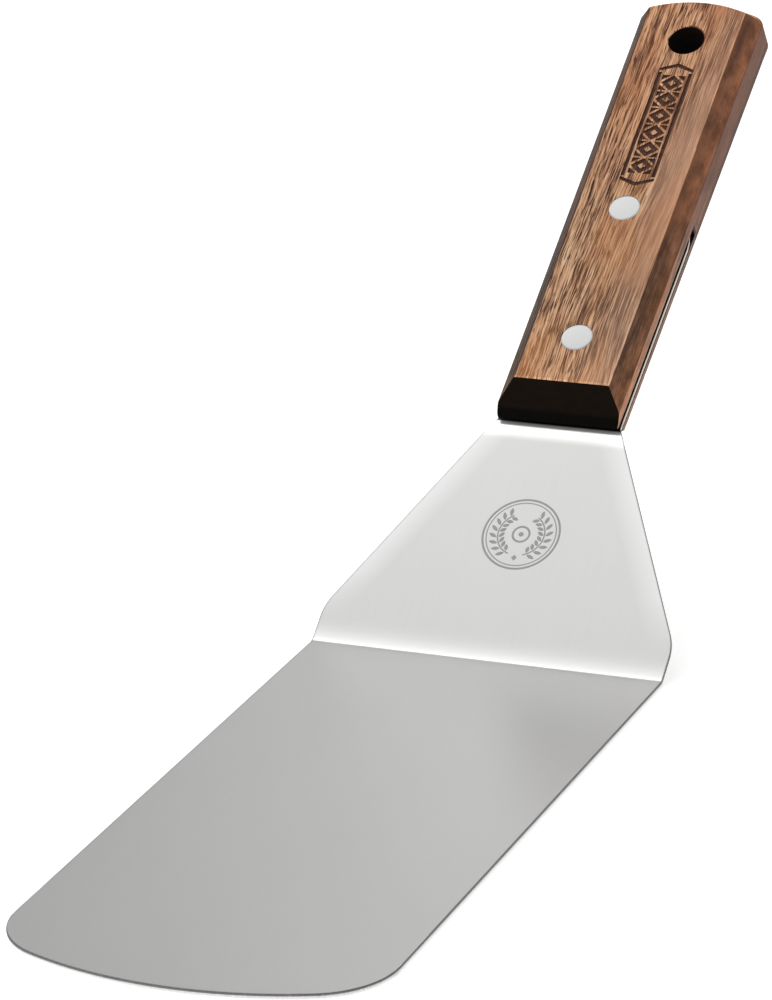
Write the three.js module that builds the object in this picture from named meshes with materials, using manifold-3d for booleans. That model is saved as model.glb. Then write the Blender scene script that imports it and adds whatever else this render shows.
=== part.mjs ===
// Offset grill turner: one stainless steel sheet, a slotted one-piece walnut handle and two cutlery rivets.
// Millimetres. +Z is up and +Y runs from the blade to the handle. The origin is the centre of the blade's
// flat underside, halfway between its front edge and the bend line.
import * as THREE from 'three';
import { mergeVertices } from 'three/addons/utils/BufferGeometryUtils.js';
import Module from 'manifold-3d';

const wasm = await Module();
wasm.setup();

const radians = THREE.MathUtils.degToRad;

// Clearance kept between pieces that touch on the real object
const GAP = 0.3;

// Sheet: blade, neck and tang are one piece
const SHEET_THICKNESS = 0.8;
const BLADE_WIDTH = 76;
const BLADE_LENGTH = 154.8;
const FRONT_EDGE_RADIUS = 76;
const FRONT_CORNER_RADIUS = 16;
const NECK_ANGLE = radians(38.3);
const NECK_LENGTH = 53.15;
const NECK_END_HALF_WIDTH = 14.2;
const NECK_BEND_RADIUS = 2.6;
const SHOULDER_HEIGHT = 8.5;
const SHOULDER_RADIUS = 12;
const TANG_BEND_RADIUS = 20;
const TANG_STRAIGHT = 53.1;

// Handle: lengths run along it from the line where the neck bends into the tang
const HANDLE_ANGLE = radians(31.5);
const HANDLE_FRONT = 2.6;
const HANDLE_REAR = 119;
const FRONT_HALF_WIDTH = 13.4;
const REAR_HALF_WIDTH = 14.03;
const REAR_EDGE_RADIUS = 32;
const REAR_CORNER_RADIUS = 3.2;
const SIDE_FACE_HEIGHT = 5.3;
const BEVEL_DROP = 3.3;
const BEVEL_INSET = 3;
const THICKENING = 0.28;
const HANDLE_LIFT = 0.9;
const NOSE_LENGTH = 7.5;
const NOSE_STEP_LENGTH = 2.3;
const NOSE_STEP_HEIGHT = 2.1;

// Slot sawn into the handle for the tang
const SLOT_ABOVE_TANG = 1;
const SLOT_STRAIGHT = 58.1;

// Hang hole
const HANG_HOLE_POSITION = 105;
const HANG_HOLE_RADIUS = 4;

// Compression rivets: a solid male half pressed into a tubular female half
const RIVET_POSITIONS = { front: 21.7, rear: 57.1 };
const RIVET_HEAD_RADIUS = 3.4;
const RIVET_HEAD_THICKNESS = 1.4;
const RIVET_TUBE_RADIUS = 2.3;
const RIVET_TUBE_BORE_RADIUS = 1.65;
const RIVET_PIN_RADIUS = RIVET_TUBE_BORE_RADIUS - GAP;
const RIVET_PIN_TAPER = 0.3;
const RIVET_FLOOR = 1;

const ROUND_SEGMENTS = 32;
const ARC_SEGMENTS = 14;
const BEND_SEGMENTS = 8;
const CUT_MARGIN = 10;

const steel = { color: 0xd2d2cf, roughness: 0.3, metalness: 1 };
const rivetSteel = { color: 0xd8d9d7, roughness: 0.35, metalness: 1 };
const walnut = { color: 0x9c7458, roughness: 0.6, metalness: 0 };

function toSolid(geometry) {
  const bare = geometry.index ? geometry.toNonIndexed() : geometry.clone();
  bare.deleteAttribute('normal');
  bare.deleteAttribute('uv');
  const merged = mergeVertices(bare, 1e-4);
  return new wasm.Manifold(new wasm.Mesh({
    numProp: 3,
    vertProperties: merged.attributes.position.array,
    triVerts: merged.index.array,
  }));
}

function toGeometry(solid) {
  const mesh = solid.getMesh();
  const geometry = new THREE.BufferGeometry();
  geometry.setAttribute('position', new THREE.BufferAttribute(mesh.vertProperties, 3));
  geometry.setIndex(new THREE.BufferAttribute(mesh.triVerts, 1));
  geometry.computeVertexNormals();
  return geometry;
}

function makePiece(name, solid, look) {
  const mesh = new THREE.Mesh(toGeometry(solid), new THREE.MeshStandardMaterial(look));
  mesh.name = name;
  return mesh;
}

// A prism of a flat outline, from bottom to top along Z
function makePrism(shape, bottom, top) {
  const prism = new THREE.ExtrudeGeometry(shape, {
    depth: top - bottom,
    bevelEnabled: false,
    curveSegments: ARC_SEGMENTS,
  });
  return prism.translate(0, 0, bottom);
}

// A prism of a side-view outline, drawn in Y and Z, centred on X = 0
function makeSidePrism(shape, width) {
  const prism = makePrism(shape, -width / 2, width / 2);
  const sideways = new THREE.Matrix4().makeBasis(
    new THREE.Vector3(0, 1, 0),
    new THREE.Vector3(0, 0, 1),
    new THREE.Vector3(1, 0, 0),
  );
  return prism.applyMatrix4(sideways);
}

function makeUprightCylinder(radius, bottom, top, position) {
  const cylinder = new THREE.CylinderGeometry(radius, radius, top - bottom, ROUND_SEGMENTS);
  return cylinder.rotateX(Math.PI / 2).translate(0, position, (top + bottom) / 2);
}

// Middle of the sheet where the blade bends up into the neck, and where the neck bends into the tang
const bladeBend = new THREE.Vector2(BLADE_LENGTH / 2, SHEET_THICKNESS / 2);
const tangBend = bladeBend.clone().add(along(NECK_ANGLE, NECK_LENGTH));

function along(angle, distance) {
  return new THREE.Vector2(Math.cos(angle), Math.sin(angle)).multiplyScalar(distance);
}

// Where the handle's own frame sits: Y along the handle, Z square to its top
function placeInHandleFrame(geometry) {
  return geometry.rotateX(HANDLE_ANGLE).translate(0, tangBend.x, tangBend.y);
}

function handleHalfWidth(position) {
  return THREE.MathUtils.mapLinear(
    position, HANDLE_FRONT, HANDLE_REAR, FRONT_HALF_WIDTH, REAR_HALF_WIDTH,
  );
}

function handleThickening(position) {
  return 1 + THICKENING * (position - HANDLE_FRONT) / (HANDLE_REAR - HANDLE_FRONT);
}

// Heights of the handle's top and bottom faces above the middle of the tang
function handleFaces(position) {
  const halfHeight = (SIDE_FACE_HEIGHT / 2 + BEVEL_DROP) * handleThickening(position);
  return { top: HANDLE_LIFT + halfHeight, bottom: HANDLE_LIFT - halfHeight };
}

// One face of the bent sheet in side view, at a distance from its middle
function sheetFaceLine(offset) {
  const start = new THREE.Vector2(-BLADE_LENGTH / 2 - CUT_MARGIN, SHEET_THICKNESS / 2 + offset);
  const bends = [
    { corner: bladeBend, from: 0, to: NECK_ANGLE, radius: NECK_BEND_RADIUS },
    { corner: tangBend, from: NECK_ANGLE, to: HANDLE_ANGLE, radius: TANG_BEND_RADIUS },
  ];
  const points = [start];
  for (const { corner, from, to, radius } of bends) {
    const turn = Math.sign(to - from);
    const tangent = radius * Math.tan(Math.abs(to - from) / 2);
    const centre = corner.clone().sub(along(from, tangent)).add(along(from + Math.PI / 2, turn * radius));
    for (let step = 0; step <= BEND_SEGMENTS; step += 1) {
      const angle = from + (to - from) * step / BEND_SEGMENTS;
      points.push(centre.clone().sub(along(angle + Math.PI / 2, turn * radius - offset)));
    }
  }
  const tangEnd = TANG_STRAIGHT + handleHalfWidth(TANG_STRAIGHT) + CUT_MARGIN;
  const end = tangBend.clone().add(along(HANDLE_ANGLE, tangEnd));
  points.push(end.add(along(HANDLE_ANGLE + Math.PI / 2, offset)));
  return points;
}

// Blade outline: straight sides, rounded front corners and a front edge of one long arc
function bladeOutline() {
  const halfWidth = BLADE_WIDTH / 2;
  const rear = BLADE_LENGTH / 2 + NECK_BEND_RADIUS;
  const frontCentre = -BLADE_LENGTH / 2 + FRONT_EDGE_RADIUS;
  const cornerX = halfWidth - FRONT_CORNER_RADIUS;
  const centreDistance = FRONT_EDGE_RADIUS - FRONT_CORNER_RADIUS;
  const cornerY = frontCentre - Math.sqrt(centreDistance ** 2 - cornerX ** 2);
  const spread = Math.asin(cornerX / centreDistance);
  const down = -Math.PI / 2;
  const shape = new THREE.Shape();
  shape.moveTo(-halfWidth, rear);
  shape.lineTo(-halfWidth, cornerY);
  shape.absarc(-cornerX, cornerY, FRONT_CORNER_RADIUS, -Math.PI, down - spread, false);
  shape.absarc(0, frontCentre, FRONT_EDGE_RADIUS, down - spread, down + spread, false);
  shape.absarc(cornerX, cornerY, FRONT_CORNER_RADIUS, down + spread, 0, false);
  shape.lineTo(halfWidth, rear);
  return shape;
}

// Neck and tang outline, along the neck from the blade's bend line: full blade width up to the shoulders,
// then narrowing straight until it is as wide as the handle, just inside it; the tang ends in a half circle
function neckOutline() {
  const halfWidth = BLADE_WIDTH / 2;
  const neckEnd = NECK_LENGTH + HANDLE_FRONT;
  const slope = (halfWidth - NECK_END_HALF_WIDTH) / (neckEnd - SHOULDER_HEIGHT);
  const narrowing = Math.atan(slope);
  const tangStart = neckEnd + (NECK_END_HALF_WIDTH - FRONT_HALF_WIDTH) / slope;
  const tangent = SHOULDER_RADIUS * Math.tan(narrowing / 2);
  const arcX = halfWidth - SHOULDER_RADIUS;
  const arcY = SHOULDER_HEIGHT - tangent;
  const tangRound = NECK_LENGTH + TANG_STRAIGHT;
  const tangRoundRadius = handleHalfWidth(TANG_STRAIGHT);
  const shape = new THREE.Shape();
  shape.moveTo(halfWidth, -NECK_BEND_RADIUS);
  shape.lineTo(halfWidth, arcY);
  shape.absarc(arcX, arcY, SHOULDER_RADIUS, 0, narrowing, false);
  shape.lineTo(FRONT_HALF_WIDTH, tangStart);
  shape.absarc(0, tangRound, tangRoundRadius, 0, Math.PI, false);
  shape.lineTo(-FRONT_HALF_WIDTH, tangStart);
  shape.absarc(-arcX, arcY, SHOULDER_RADIUS, Math.PI - narrowing, Math.PI, false);
  shape.lineTo(-halfWidth, -NECK_BEND_RADIUS);
  return shape;
}

function rivetBore(position) {
  const { top, bottom } = handleFaces(position);
  return toSolid(placeInHandleFrame(
    makeUprightCylinder(RIVET_TUBE_RADIUS + GAP, bottom - CUT_MARGIN, top + CUT_MARGIN, position),
  ));
}

function makeSheet() {
  const upper = sheetFaceLine(SHEET_THICKNESS / 2);
  const lower = sheetFaceLine(-SHEET_THICKNESS / 2);
  const sideView = new THREE.Shape([...lower, ...upper.reverse()]);
  const bentSheet = toSolid(makeSidePrism(sideView, BLADE_WIDTH + CUT_MARGIN));
  const bladeCut = toSolid(makePrism(bladeOutline(), -CUT_MARGIN, SHEET_THICKNESS + NECK_BEND_RADIUS));
  const neckCut = makePrism(neckOutline(), -CUT_MARGIN - TANG_BEND_RADIUS, CUT_MARGIN);
  neckCut.rotateX(NECK_ANGLE).translate(0, bladeBend.x, bladeBend.y);
  let sheet = bentSheet.intersect(bladeCut.add(toSolid(neckCut)));
  for (const position of Object.values(RIVET_POSITIONS)) {
    sheet = sheet.subtract(rivetBore(position));
  }
  return makePiece('blade_and_tang', sheet, steel);
}

// Handle outline at its widest level: tapered sides, rounded rear corners and a rear edge of one arc
function handleOutline() {
  const rearCentre = HANDLE_REAR - REAR_EDGE_RADIUS;
  const cornerX = REAR_HALF_WIDTH - REAR_CORNER_RADIUS;
  const centreDistance = REAR_EDGE_RADIUS - REAR_CORNER_RADIUS;
  const cornerY = rearCentre + Math.sqrt(centreDistance ** 2 - cornerX ** 2);
  const spread = Math.asin(cornerX / centreDistance);
  const up = Math.PI / 2;
  const shape = new THREE.Shape();
  shape.moveTo(-FRONT_HALF_WIDTH, HANDLE_FRONT);
  shape.lineTo(FRONT_HALF_WIDTH, HANDLE_FRONT);
  shape.absarc(cornerX, cornerY, REAR_CORNER_RADIUS, 0, up - spread, false);
  shape.absarc(0, rearCentre, REAR_EDGE_RADIUS, up - spread, up + spread, false);
  shape.absarc(-cornerX, cornerY, REAR_CORNER_RADIUS, up + spread, Math.PI, false);
  return shape;
}

// The eight-sided block, bevelled all round, that grows thicker towards the rear
function makeHandleBlock() {
  const block = new THREE.ExtrudeGeometry(handleOutline(), {
    depth: SIDE_FACE_HEIGHT,
    bevelThickness: BEVEL_DROP,
    bevelSize: BEVEL_INSET,
    bevelOffset: -BEVEL_INSET,
    bevelSegments: 1,
    curveSegments: ARC_SEGMENTS,
  });
  block.translate(0, 0, -SIDE_FACE_HEIGHT / 2);
  const position = block.attributes.position;
  for (let i = 0; i < position.count; i += 1) {
    const thickened = position.getZ(i) * handleThickening(position.getY(i));
    position.setZ(i, HANDLE_LIFT + thickened);
  }
  return toSolid(placeInHandleFrame(block));
}

// The wood removed above (side = 1) or below (side = -1) the sloped nose
function noseCut(side) {
  const { top, bottom } = handleFaces(HANDLE_FRONT + NOSE_LENGTH);
  const height = side > 0 ? top - HANDLE_LIFT : HANDLE_LIFT - bottom;
  const slope = (NOSE_LENGTH - NOSE_STEP_LENGTH) / (height - NOSE_STEP_HEIGHT);
  const reach = CUT_MARGIN * slope;
  const shape = new THREE.Shape();
  shape.moveTo(HANDLE_FRONT - CUT_MARGIN, HANDLE_LIFT);
  shape.lineTo(HANDLE_FRONT, HANDLE_LIFT);
  shape.lineTo(HANDLE_FRONT + NOSE_STEP_LENGTH, HANDLE_LIFT + side * NOSE_STEP_HEIGHT);
  shape.lineTo(HANDLE_FRONT + NOSE_LENGTH + reach, HANDLE_LIFT + side * (height + CUT_MARGIN));
  shape.lineTo(HANDLE_FRONT - CUT_MARGIN, HANDLE_LIFT + side * (height + CUT_MARGIN));
  return toSolid(placeInHandleFrame(makeSidePrism(shape, 2 * BLADE_WIDTH)));
}

// The saw slot is open at the front and both sides, and ends in a half circle past the tang
function slotCut() {
  const halfWidth = handleHalfWidth(SLOT_STRAIGHT);
  const open = halfWidth + CUT_MARGIN;
  const shape = new THREE.Shape();
  shape.moveTo(-open, HANDLE_FRONT - CUT_MARGIN);
  shape.lineTo(open, HANDLE_FRONT - CUT_MARGIN);
  shape.lineTo(open, SLOT_STRAIGHT);
  shape.absarc(0, SLOT_STRAIGHT, halfWidth, 0, Math.PI, false);
  shape.lineTo(-open, SLOT_STRAIGHT);
  const bottom = -SHEET_THICKNESS / 2 - GAP;
  const top = SHEET_THICKNESS / 2 + SLOT_ABOVE_TANG;
  return toSolid(placeInHandleFrame(makePrism(shape, bottom, top)));
}

function rivetPocket(position, side) {
  const { top, bottom } = handleFaces(position);
  const floor = RIVET_HEAD_THICKNESS + GAP;
  const radius = RIVET_HEAD_RADIUS + GAP;
  const pocket = side > 0
    ? makeUprightCylinder(radius, top - floor, top + CUT_MARGIN, position)
    : makeUprightCylinder(radius, bottom - CUT_MARGIN, bottom + floor, position);
  return toSolid(placeInHandleFrame(pocket));
}

function hangHoleCut() {
  const { top, bottom } = handleFaces(HANG_HOLE_POSITION);
  return toSolid(placeInHandleFrame(makeUprightCylinder(
    HANG_HOLE_RADIUS, bottom - CUT_MARGIN, top + CUT_MARGIN, HANG_HOLE_POSITION,
  )));
}

// A turned solid about an axis square to the handle's top, from pairs of radius and height
function makeTurned(profile, position) {
  const points = profile.map(([radius, height]) => new THREE.Vector2(radius, height));
  const turned = new THREE.LatheGeometry(points, ROUND_SEGMENTS);
  return toSolid(placeInHandleFrame(turned.rotateX(Math.PI / 2).translate(0, position, 0)));
}

function makeHandle() {
  const cuts = [noseCut(1), noseCut(-1), slotCut(), hangHoleCut()];
  for (const position of Object.values(RIVET_POSITIONS)) {
    cuts.push(rivetBore(position), rivetPocket(position, 1), rivetPocket(position, -1));
  }
  let handle = makeHandleBlock();
  for (const cut of cuts) {
    handle = handle.subtract(cut);
  }
  return makePiece('handle', handle, walnut);
}

// The tubular half goes in from below and stops just under the head of the other half
function makeRivetFemale(name, position) {
  const { top, bottom } = handleFaces(position);
  const head = bottom + RIVET_HEAD_THICKNESS;
  const rim = top - RIVET_HEAD_THICKNESS - GAP;
  const profile = [
    [0, bottom],
    [RIVET_HEAD_RADIUS, bottom],
    [RIVET_HEAD_RADIUS, head],
    [RIVET_TUBE_RADIUS, head],
    [RIVET_TUBE_RADIUS, rim],
    [RIVET_TUBE_BORE_RADIUS, rim],
    [RIVET_TUBE_BORE_RADIUS, bottom + RIVET_FLOOR],
    [0, bottom + RIVET_FLOOR],
  ];
  return makePiece(name, makeTurned(profile, position), rivetSteel);
}

// The solid half goes in from above
function makeRivetMale(name, position) {
  const { top, bottom } = handleFaces(position);
  const head = top - RIVET_HEAD_THICKNESS;
  const tip = bottom + RIVET_FLOOR + GAP;
  const profile = [
    [0, tip],
    [RIVET_PIN_RADIUS - RIVET_PIN_TAPER, tip],
    [RIVET_PIN_RADIUS, tip + RIVET_PIN_TAPER],
    [RIVET_PIN_RADIUS, head],
    [RIVET_HEAD_RADIUS, head],
    [RIVET_HEAD_RADIUS, top],
    [0, top],
  ];
  return makePiece(name, makeTurned(profile, position), rivetSteel);
}

const turner = new THREE.Group();
turner.add(makeSheet(), makeHandle());
for (const [place, position] of Object.entries(RIVET_POSITIONS)) {
  turner.add(makeRivetMale(`${place}_rivet_male`, position));
  turner.add(makeRivetFemale(`${place}_rivet_female`, position));
}

export default turner;
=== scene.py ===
import math

import bmesh
import bpy
import numpy as np
from mathutils import Matrix, Vector


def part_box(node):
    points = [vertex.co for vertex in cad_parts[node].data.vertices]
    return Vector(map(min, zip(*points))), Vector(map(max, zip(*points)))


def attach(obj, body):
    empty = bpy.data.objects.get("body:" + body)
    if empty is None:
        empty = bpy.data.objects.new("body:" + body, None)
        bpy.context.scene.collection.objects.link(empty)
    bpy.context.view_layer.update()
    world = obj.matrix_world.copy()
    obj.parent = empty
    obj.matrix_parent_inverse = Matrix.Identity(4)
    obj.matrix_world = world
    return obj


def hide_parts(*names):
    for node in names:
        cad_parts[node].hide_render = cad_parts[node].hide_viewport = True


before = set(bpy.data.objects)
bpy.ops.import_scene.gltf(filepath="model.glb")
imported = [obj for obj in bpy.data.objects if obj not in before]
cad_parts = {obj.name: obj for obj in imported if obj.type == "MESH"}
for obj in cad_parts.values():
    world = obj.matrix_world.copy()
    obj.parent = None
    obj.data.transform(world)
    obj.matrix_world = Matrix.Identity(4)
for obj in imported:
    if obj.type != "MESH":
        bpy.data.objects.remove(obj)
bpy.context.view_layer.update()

MM = 0.001

# Dimensions in millimetres, as in the CAD
SHEET_THICKNESS = 0.8
BLADE_LENGTH = 154.8
FRONT_EDGE_RADIUS = 76
FRONT_CORNER_RADIUS = 16
NECK_ANGLE = math.radians(38.3)
NECK_LENGTH = 53.15
NECK_END_HALF_WIDTH = 14.2
NECK_BEND_RADIUS = 2.6
SHOULDER_HEIGHT = 8.5
SHOULDER_RADIUS = 12
TANG_BEND_RADIUS = 20
TANG_STRAIGHT = 53.1
HANDLE_ANGLE = math.radians(31.5)
HANDLE_FRONT = 2.6
HANDLE_REAR = 119
FRONT_HALF_WIDTH = 13.4
REAR_HALF_WIDTH = 14.03
REAR_EDGE_RADIUS = 32
REAR_CORNER_RADIUS = 3.2
SIDE_FACE_HEIGHT = 5.3
BEVEL_DROP = 3.3
BEVEL_INSET = 3
THICKENING = 0.28
HANDLE_LIFT = 0.9
NOSE_LENGTH = 7.5
NOSE_STEP_LENGTH = 2.3
NOSE_STEP_HEIGHT = 2.1
NOSE_STEP_RADIUS = 3
SLOT_ABOVE_TANG = 1
SLOT_BELOW_TANG = 0.3
SLOT_STRAIGHT = 58.1
HANG_HOLE_POSITION = 105
HANG_HOLE_RADIUS = 4
RIVET_POSITIONS = {"front": 21.7, "rear": 57.1}
RIVET_HEAD_RADIUS = 3.4
RIVET_HEAD_THICKNESS = 1.4
RIVET_TUBE_RADIUS = 2.3
RIVET_TUBE_BORE_RADIUS = 1.65
RIVET_FLOOR = 1

# Finish of the real object that the CAD leaves out
BEND_TIGHT_ANGLE = math.radians(33)
BEND_EASE = 6
SHEET_EDGE_EASE = 0.12
HANDLE_EDGE_RADIUS = 0.45
NOSE_CORNER_RADIUS = 1.5
NOSE_EDGE_WIDTH = 0.35
NOSE_EDGE_DROP = 0.08
HOLE_RIM_CHAMFER = 0.18
RIVET_EDGE_CHAMFER = 0.12
RIVET_FIT = 0.02

# The blade's part whose rows of faces follow the bowed front edge
FRONT_ROWS_LENGTH = 34

SHARP_ANGLE = math.radians(30)
TURNED_SEGMENTS = 96

sheet_low, sheet_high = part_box("blade_and_tang")
BLADE_HALF_WIDTH = sheet_high.x / MM
BEND_Y = sheet_low.y / MM + BLADE_LENGTH


def along(angle, distance):
    return Vector((0, math.cos(angle), math.sin(angle))) * distance


BLADE_BEND = Vector((0, BEND_Y, SHEET_THICKNESS / 2))
TANG_BEND = BLADE_BEND + along(NECK_ANGLE, NECK_LENGTH)
HANDLE_FRAME = Matrix.Translation(TANG_BEND) @ Matrix.Rotation(HANDLE_ANGLE, 4, "X")
NECK_FRAME = Matrix.Translation(BLADE_BEND) @ Matrix.Rotation(NECK_ANGLE, 4, "X")


# ---------------------------------------------------------------- mesh helpers

def make_object(name, vertices, faces, transform=Matrix.Identity(4)):
    mesh = bpy.data.meshes.new(name)
    mesh.from_pydata([tuple((transform @ Vector(v)) * MM) for v in vertices], [], faces)
    mesh.validate()
    piece = bpy.data.objects.new(name, mesh)
    bpy.context.scene.collection.objects.link(piece)
    bm = bmesh.new()
    bm.from_mesh(mesh)
    bmesh.ops.recalc_face_normals(bm, faces=bm.faces)
    bm.to_mesh(mesh)
    bm.free()
    return piece


def bake_modifiers(piece):
    graph = bpy.context.evaluated_depsgraph_get()
    mesh = bpy.data.meshes.new_from_object(piece.evaluated_get(graph))
    piece.modifiers.clear()
    old = piece.data
    piece.data = mesh
    bpy.data.meshes.remove(old)


def cut(piece, cutter):
    """Takes the cutter out of the piece and deletes the cutter."""
    boolean = piece.modifiers.new("cut", "BOOLEAN")
    boolean.operation = "DIFFERENCE"
    boolean.solver = "EXACT"
    boolean.object = cutter
    bake_modifiers(piece)
    mesh = cutter.data
    bpy.data.objects.remove(cutter)
    bpy.data.meshes.remove(mesh)


def finish_shading(piece):
    piece.data.shade_smooth()
    piece.data.set_sharp_from_angle(angle=SHARP_ANGLE)
    weighted = piece.modifiers.new("weighted", "WEIGHTED_NORMAL")
    weighted.keep_sharp = True
    weighted.weight = 80
    bake_modifiers(piece)


def is_loop(outline):
    """True for one loop of points, False for the pair of loops that bounds a ring."""
    return isinstance(outline[0][0], (int, float))


def shifted(outline, x, y):
    if is_loop(outline):
        return [(a + x, b + y) for a, b in outline]
    return tuple(shifted(loop, x, y) for loop in outline)


def join_prisms(name, outlines, bottom, top, transform):
    """One cutter of separate prisms. An outline is one loop of points, or two loops for a ring."""
    vertices = []
    faces = []
    for outline in outlines:
        start = len(vertices)
        if is_loop(outline):
            count = len(outline)
            vertices += [(x, y, z) for z in (bottom, top) for x, y in outline]
            faces.append([start + i for i in reversed(range(count))])
            faces.append([start + count + i for i in range(count)])
            for i in range(count):
                j = (i + 1) % count
                faces.append([start + i, start + j, start + count + j, start + count + i])
        else:
            outer, inner = outline
            count = len(outer)
            for loop, height in ((outer, bottom), (outer, top), (inner, top), (inner, bottom)):
                vertices += [(x, y, height) for x, y in loop]
            for level in range(4):
                for i in range(count):
                    j = (i + 1) % count
                    a = start + level * count
                    b = start + (level + 1) % 4 * count
                    faces.append([a + i, a + j, b + j, b + i])
    return make_object(name, vertices, faces, transform)


def circle(radius, count):
    angles = [2 * math.pi * i / count for i in range(count)]
    return [(radius * math.cos(angle), radius * math.sin(angle)) for angle in angles]


def make_turned(name, profile, position, tilt=0):
    """A closed turned solid about an axis square to the handle, from pairs of radius and height."""
    count = TURNED_SEGMENTS
    vertices = []
    faces = []
    rings = []
    for radius, height in profile:
        if radius == 0:
            rings.append([len(vertices)] * count)
            vertices.append((0, 0, height))
        else:
            rings.append([len(vertices) + i for i in range(count)])
            vertices += [(x, y, height) for x, y in circle(radius, count)]
    for lower, upper in zip(rings, rings[1:]):
        for i in range(count):
            j = (i + 1) % count
            face = []
            for index in (lower[i], lower[j], upper[j], upper[i]):
                if index not in face:
                    face.append(index)
            faces.append(face)
    pivot = Matrix.Translation((0, 0, profile[0][1]))
    turn = pivot @ Matrix.Rotation(tilt, 4, "X") @ pivot.inverted()
    return make_object(name, vertices, faces, HANDLE_FRAME @ Matrix.Translation((0, position, 0)) @ turn)


# ---------------------------------------------------------------- blade, neck and tang

def bend_path():
    """The middle of the sheet through the blade's bend: a tight bend that eases off up the neck."""
    tight = NECK_BEND_RADIUS * BEND_TIGHT_ANGLE
    length = tight + BEND_EASE
    distance = np.linspace(0, length, 600)
    easing = np.clip(1 - (distance - tight) / BEND_EASE, 0, 1) ** 2
    slope = np.where(
        distance < tight,
        BEND_TIGHT_ANGLE * distance / tight,
        NECK_ANGLE - (NECK_ANGLE - BEND_TIGHT_ANGLE) * easing,
    )
    step = distance[1]
    forward = np.concatenate([[0], np.cumsum(np.cos(slope[1:] / 2 + slope[:-1] / 2) * step)])
    rise = np.concatenate([[0], np.cumsum(np.sin(slope[1:] / 2 + slope[:-1] / 2) * step)])
    end = rise[-1] / math.sin(NECK_ANGLE)
    start = end * math.cos(NECK_ANGLE) - forward[-1]
    return distance / length, slope, forward + start, rise, start, end


BEND_SHARES, BEND_SLOPES, BEND_FORWARD, BEND_RISE, BEND_START, BEND_END = bend_path()


def sheet_frame(q):
    """The middle of the sheet and its slope, q past the blade's bend line."""
    tangent = TANG_BEND_RADIUS * math.tan((NECK_ANGLE - HANDLE_ANGLE) / 2)
    if q >= NECK_LENGTH + tangent:
        return TANG_BEND + along(HANDLE_ANGLE, q - NECK_LENGTH), HANDLE_ANGLE
    if q > NECK_LENGTH - tangent:
        slope = NECK_ANGLE - (NECK_ANGLE - HANDLE_ANGLE) * (q - NECK_LENGTH + tangent) / (2 * tangent)
        centre = TANG_BEND - along(NECK_ANGLE, tangent) - along(NECK_ANGLE + math.pi / 2, TANG_BEND_RADIUS)
        return centre + along(slope + math.pi / 2, TANG_BEND_RADIUS), slope
    if q >= BEND_END:
        return BLADE_BEND + along(NECK_ANGLE, q), NECK_ANGLE
    if q > BEND_START:
        share = (q - BEND_START) / (BEND_END - BEND_START)
        forward, rise, slope = (float(np.interp(share, BEND_SHARES, values))
                                for values in (BEND_FORWARD, BEND_RISE, BEND_SLOPES))
        return BLADE_BEND + Vector((0, forward, rise)), slope
    return BLADE_BEND + along(0, q), 0


NECK_END = NECK_LENGTH + HANDLE_FRONT
NECK_SLOPE = (BLADE_HALF_WIDTH - NECK_END_HALF_WIDTH) / (NECK_END - SHOULDER_HEIGHT)
TANG_START = NECK_END + (NECK_END_HALF_WIDTH - FRONT_HALF_WIDTH) / NECK_SLOPE
TANG_ROUND = NECK_LENGTH + TANG_STRAIGHT
SHOULDER_TANGENT = SHOULDER_RADIUS * math.tan(math.atan(NECK_SLOPE) / 2)
SHOULDER_START = SHOULDER_HEIGHT - SHOULDER_TANGENT
SHOULDER_END = SHOULDER_START + SHOULDER_RADIUS * math.sin(math.atan(NECK_SLOPE))


def handle_half_width(u):
    widening = REAR_HALF_WIDTH - FRONT_HALF_WIDTH
    return FRONT_HALF_WIDTH + widening * (u - HANDLE_FRONT) / (HANDLE_REAR - HANDLE_FRONT)


def handle_thickening(u):
    return 1 + THICKENING * (u - HANDLE_FRONT) / (HANDLE_REAR - HANDLE_FRONT)


def handle_faces(u):
    half_height = (SIDE_FACE_HEIGHT / 2 + BEVEL_DROP) * handle_thickening(u)
    return HANDLE_LIFT + half_height, HANDLE_LIFT - half_height


TANG_ROUND_RADIUS = handle_half_width(TANG_STRAIGHT)


def sheet_half_width(q):
    if q <= SHOULDER_START:
        return BLADE_HALF_WIDTH
    if q < SHOULDER_END:
        rise = q - SHOULDER_START
        return BLADE_HALF_WIDTH - SHOULDER_RADIUS + math.sqrt(SHOULDER_RADIUS ** 2 - rise ** 2)
    if q < TANG_START:
        return NECK_END_HALF_WIDTH + NECK_SLOPE * (NECK_END - q)
    if q < TANG_ROUND:
        share = (q - TANG_START) / (TANG_ROUND - TANG_START)
        return FRONT_HALF_WIDTH + (TANG_ROUND_RADIUS - FRONT_HALF_WIDTH) * share
    return math.sqrt(max(TANG_ROUND_RADIUS ** 2 - (q - TANG_ROUND) ** 2, 0))


def spaced(start, end, step):
    count = max(1, round((end - start) / step))
    return [start + (end - start) * i / count for i in range(count)]


def front_columns():
    """Pairs of x and q along the blade's front edge, from left to right."""
    centre = -BLADE_LENGTH + FRONT_EDGE_RADIUS
    corner_x = BLADE_HALF_WIDTH - FRONT_CORNER_RADIUS
    distance = FRONT_EDGE_RADIUS - FRONT_CORNER_RADIUS
    corner_q = centre - math.sqrt(distance ** 2 - corner_x ** 2)
    spread = math.asin(corner_x / distance)
    right = []
    for angle in spaced(0, spread, math.radians(1.1)):
        right.append((FRONT_EDGE_RADIUS * math.sin(angle), centre - FRONT_EDGE_RADIUS * math.cos(angle)))
    for angle in spaced(spread, math.radians(82), math.radians(3.6)) + [math.radians(a) for a in (82, 90)]:
        right.append((
            corner_x + FRONT_CORNER_RADIUS * math.sin(angle),
            corner_q - FRONT_CORNER_RADIUS * math.cos(angle),
        ))
    return [(-x, q) for x, q in reversed(right[1:])] + right


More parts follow.
